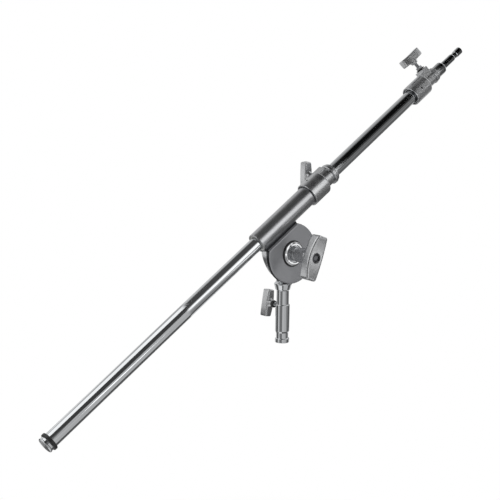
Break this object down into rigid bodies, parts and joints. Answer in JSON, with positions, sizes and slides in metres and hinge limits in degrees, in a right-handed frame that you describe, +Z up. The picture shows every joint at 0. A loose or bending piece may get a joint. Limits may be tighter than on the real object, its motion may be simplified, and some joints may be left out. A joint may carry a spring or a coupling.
{
  "type": "overhead boom arm",
  "caption": "Telescoping overhead boom arm that slides and tilts in a clamping head on a junior spigot, with a baby pin at its front end.",
  "frame": {"origin": "middle of the lower end of the junior spigot, which is also the mouth of its baby socket", "axes": "+Z up along the spigot; the boom lies in the XZ plane, tilted up towards +X where the baby pin is; the pivot clamp faces -Y"},
  "size_m": [1.0442, 0.1572, 0.7118],
  "materials": {
    "chromed_steel": "bright chrome plating, mirror-like",
    "satin_casting": "cast metal, satin, lightly blasted",
    "satin_tube": "dark satin, brushed along its length",
    "zinc_steel": "zinc plating, semi-bright",
    "black_plastic": "black, matt",
    "black_rubber": "black, matt",
    "pale_nylon": "natural nylon, smooth",
    "friction_fibre": "dark pressed fibre, dull",
    "brass": "turned brass"
  },
  "bodies": {
    "spigot": {"spigot_casting": "chromed_steel", "pivot_bolt": "zinc_steel"},
    "head": {"head_casting": "satin_casting", "friction_disc": "friction_fibre", "boss_ring": "zinc_steel", "thrust_washer": "zinc_steel", "sleeve_tube": "satin_tube", "sleeve_rear_bushing": "pale_nylon", "mid_collar": "satin_casting", "mid_collar_grub_screw": "black_plastic", "mid_brake_shoe": "brass"},
    "boom": {"boom_tube": "chromed_steel", "boom_end_cap": "chromed_steel", "boom_bumper": "black_rubber", "front_collar": "satin_casting", "front_mouth_ring": "black_plastic", "front_collar_grub_screw": "black_plastic", "front_brake_shoe": "brass"},
    "extension": {"extension_tube": "chromed_steel", "extension_glide": "pale_nylon", "baby_pin": "chromed_steel"},
    "mid_clamp": {"mid_handle": "satin_casting", "mid_handle_screw": "zinc_steel", "mid_handle_washer": "black_plastic", "mid_handle_nut": "zinc_steel"},
    "front_clamp": {"front_handle": "satin_casting", "front_handle_screw": "zinc_steel", "front_handle_washer": "black_plastic", "front_handle_nut": "zinc_steel"},
    "tie_down": {"tie_down_handle": "satin_casting", "tie_down_screw": "zinc_steel", "tie_down_nut": "black_plastic"},
    "pivot_clamp": {"pivot_handle": "satin_casting", "pivot_handle_nut": "zinc_steel"}
  },
  "joints": [
    {"name": "head_tilt", "type": "hinge", "parent": "spigot", "child": "head", "pos_m": [0, 0, 0.1846], "axis": [0, -1, 0], "range_deg": [-120, 60]},
    {"name": "boom_slide", "type": "slide", "parent": "head", "child": "boom", "axis": [0.83, 0, 0.5577], "range_m": [-0.268, 0.54]},
    {"name": "extension_slide", "type": "slide", "parent": "boom", "child": "extension", "axis": [0.83, 0, 0.5577], "range_m": [0, 0.5]},
    {"name": "mid_clamp_turn", "type": "hinge", "parent": "head", "child": "mid_clamp", "pos_m": [0.09675, -0.0095, 0.3248], "axis": [-0.0583, 0.9945, 0.0868], "range_deg": [-30, 360]},
    {"name": "front_clamp_turn", "type": "hinge", "parent": "boom", "child": "front_clamp", "pos_m": [0.39618, -0.0095, 0.526], "axis": [-0.497, 0.454, 0.7395], "range_deg": [-30, 360]},
    {"name": "tie_down_turn", "type": "hinge", "parent": "spigot", "child": "tie_down", "pos_m": [0, 0, 0.0744], "axis": [-0.1132, 0.9936, 0], "range_deg": [-30, 360]},
    {"name": "pivot_clamp_turn", "type": "hinge", "parent": "spigot", "child": "pivot_clamp", "pos_m": [0, 0, 0.1846], "axis": [0, -1, 0], "range_deg": [-30, 360]}
  ]
}
